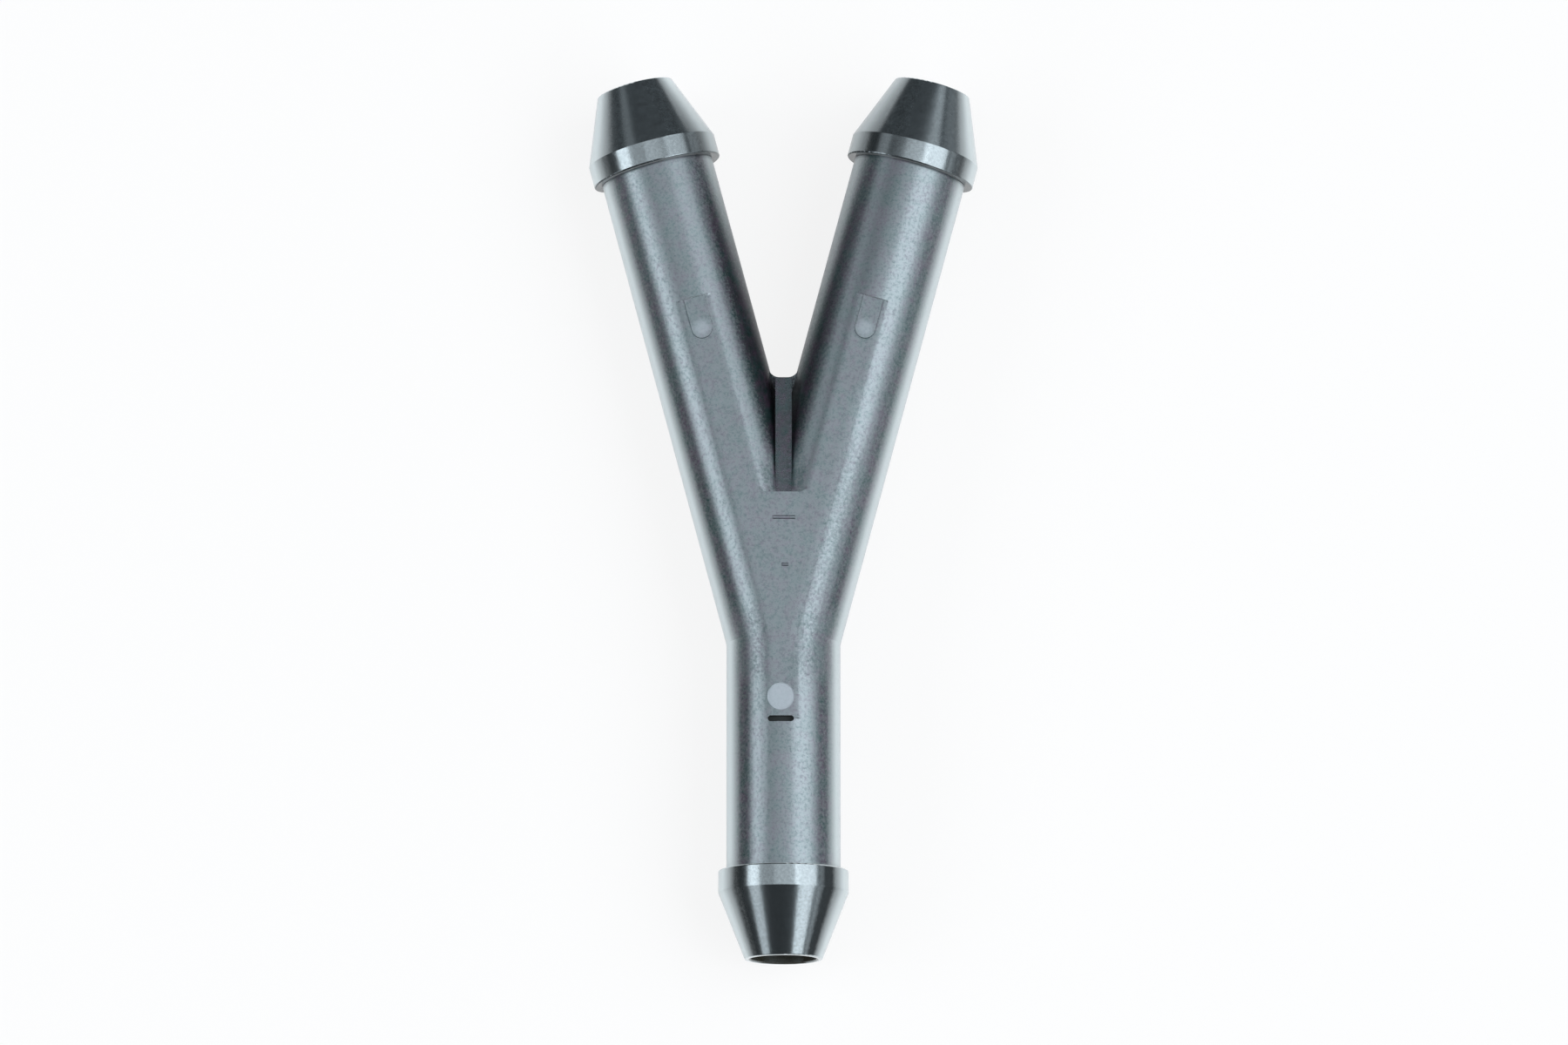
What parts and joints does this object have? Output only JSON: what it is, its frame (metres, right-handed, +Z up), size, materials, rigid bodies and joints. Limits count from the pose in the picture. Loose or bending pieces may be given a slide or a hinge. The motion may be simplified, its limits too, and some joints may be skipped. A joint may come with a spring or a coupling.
{
  "type": "tubing y connector",
  "caption": "Moulded plastic Y connector for soft tubing: a stem that forks into splayed arms, each leg ending in a hose barb.",
  "frame": {"origin": "centre of the bounding box, on the plane the barbs lie on", "axes": "+Y from the stem towards the two arms, +Z up from the plane it lies on, X across the fork"},
  "size_m": [0.024, 0.055, 0.008],
  "materials": {
    "moulded_plastic": "satin legs, polished barbs"
  },
  "bodies": {
    "root": {"connector_body": "moulded_plastic"}
  },
  "joints": []
}
